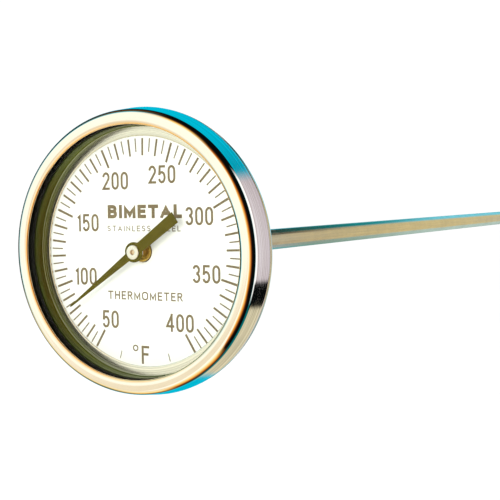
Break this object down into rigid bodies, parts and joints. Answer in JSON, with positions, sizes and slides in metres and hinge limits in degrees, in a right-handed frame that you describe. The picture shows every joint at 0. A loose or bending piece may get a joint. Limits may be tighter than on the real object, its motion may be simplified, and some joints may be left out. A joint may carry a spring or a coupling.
{
  "type": "dial thermometer",
  "caption": "Round dial thermometer with a rolled steel bezel, flat glass, printed scale, tapered pointer and a long straight stem behind the case.",
  "frame": {"origin": "on the stem's axis, at the rear face of the hexagon nut behind the case", "axes": "+Y along the stem to its tip; the dial faces -Y, its twelve o'clock is +Z and its three o'clock is +X"},
  "size_m": [0.0728, 0.3311, 0.0728],
  "materials": {
    "polished_steel": "stainless, polished front and fine turned side",
    "case_steel": "stainless, pressed, satin",
    "turned_steel": "stainless, turned",
    "stem_steel": "stainless, drawn, fine polish",
    "spring_steel": "spring steel, dull",
    "spindle_steel": "steel wire, dull",
    "spacer_steel": "stainless, polished",
    "glass": "clear, flat, polished",
    "rubber": "black, matte",
    "dial_enamel": "off-white, satin, with brown-grey printing",
    "pointer_paint": "dark olive-black, satin",
    "nickel": "bright nickel plate",
    "brass": "turned",
    "bimetal": "bonded strip, straw-coloured"
  },
  "bodies": {
    "stem": {"stem_tube": "stem_steel", "stem_tip_plug": "stem_steel", "stem_collar": "turned_steel", "recalibration_nut": "turned_steel", "wave_washer": "spring_steel", "bearing_bush": "brass", "spindle_guide_front": "brass", "spindle_guide_rear": "brass", "helix_anchor": "brass", "bimetal_helix": "bimetal"},
    "head": {"bezel_ring": "polished_steel", "window_glass": "glass", "window_gasket": "rubber", "spacer_ring": "spacer_steel", "dial_plate": "dial_enamel", "case_cup": "case_steel", "case_hub": "turned_steel", "hub_oring": "rubber"},
    "pointer": {"pointer_blade": "pointer_paint", "pointer_hub": "nickel", "spindle": "spindle_steel", "spindle_collar": "brass", "helix_ferrule": "brass"}
  },
  "joints": [
    {"name": "pointer_turn", "type": "hinge", "parent": "stem", "child": "pointer", "pos_m": [0, -0.0193, 0], "axis": [0, 1, 0], "range_deg": [-23.73, 274.27], "stiffness_Nm_per_rad": 0.0003},
    {"name": "case_turn", "type": "hinge", "parent": "stem", "child": "head", "pos_m": [0, -0.0193, 0], "axis": [0, 1, 0], "continuous": true}
  ]
}
